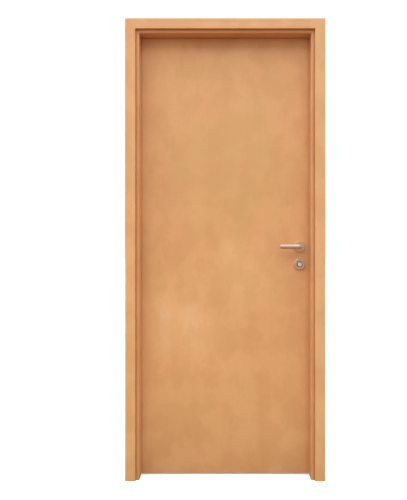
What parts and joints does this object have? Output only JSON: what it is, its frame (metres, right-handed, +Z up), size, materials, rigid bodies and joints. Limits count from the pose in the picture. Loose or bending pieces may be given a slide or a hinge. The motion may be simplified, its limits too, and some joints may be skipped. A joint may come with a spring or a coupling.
{
  "type": "interior door set",
  "caption": "Flush wooden interior door with its mitred frame and casings, butt hinges, mortise lock and a straight round lever handle on round roses.",
  "frame": {"origin": "on the outer face of the hinge-side jamb, at floor level and half the depth of the frame", "axes": "+X from the hinge jamb to the lock jamb, +Y from the push side to the pull side, +Z up"},
  "size_m": [0.94, 0.1785, 2.17],
  "materials": {
    "beech_veneer": "satin lacquered beech veneer",
    "satin_steel": "satin",
    "hinge_steel": "satin",
    "seal_rubber": "matt"
  },
  "bodies": {
    "frame": {"hinge_jamb": "beech_veneer", "lock_jamb": "beech_veneer", "head_jamb": "beech_veneer", "front_casing_hinge_side": "beech_veneer", "front_casing_lock_side": "beech_veneer", "front_casing_head": "beech_veneer", "rear_casing_hinge_side": "beech_veneer", "rear_casing_lock_side": "beech_veneer", "rear_casing_head": "beech_veneer", "stop_hinge_side": "beech_veneer", "stop_lock_side": "beech_veneer", "stop_head": "beech_veneer", "seal_hinge_side": "seal_rubber", "seal_lock_side": "seal_rubber", "seal_head": "seal_rubber", "strike_plate": "hinge_steel", "top_hinge_jamb_half": "hinge_steel", "top_hinge_pin": "hinge_steel", "middle_hinge_jamb_half": "hinge_steel", "middle_hinge_pin": "hinge_steel", "bottom_hinge_jamb_half": "hinge_steel", "bottom_hinge_pin": "hinge_steel"},
    "leaf": {"leaf_front_skin": "beech_veneer", "leaf_rear_skin": "beech_veneer", "leaf_hinge_stile": "beech_veneer", "leaf_lock_stile": "beech_veneer", "leaf_top_rail": "beech_veneer", "leaf_bottom_rail": "beech_veneer", "lock_case": "hinge_steel", "lock_forend": "hinge_steel", "latch_bolt": "hinge_steel", "dead_bolt": "hinge_steel", "key_cylinder": "satin_steel", "front_handle_rose": "satin_steel", "front_key_rose": "satin_steel", "rear_handle_rose": "satin_steel", "rear_key_rose": "satin_steel", "top_hinge_leaf_half": "hinge_steel", "middle_hinge_leaf_half": "hinge_steel", "bottom_hinge_leaf_half": "hinge_steel"},
    "handle": {"front_lever": "satin_steel", "rear_lever": "satin_steel", "spindle": "hinge_steel"}
  },
  "joints": [
    {"name": "leaf_swing", "type": "hinge", "parent": "frame", "child": "leaf", "pos_m": [0.0235, 0.062, 0], "axis": [0, 0, 1], "range_deg": [0, 170]},
    {"name": "handle_turn", "type": "hinge", "parent": "leaf", "child": "handle", "pos_m": [0.799, 0.031, 1.1], "axis": [0, -1, 0], "range_deg": [0, 40], "stiffness_Nm_per_rad": 1.2, "springref_deg": -28.65}
  ]
}
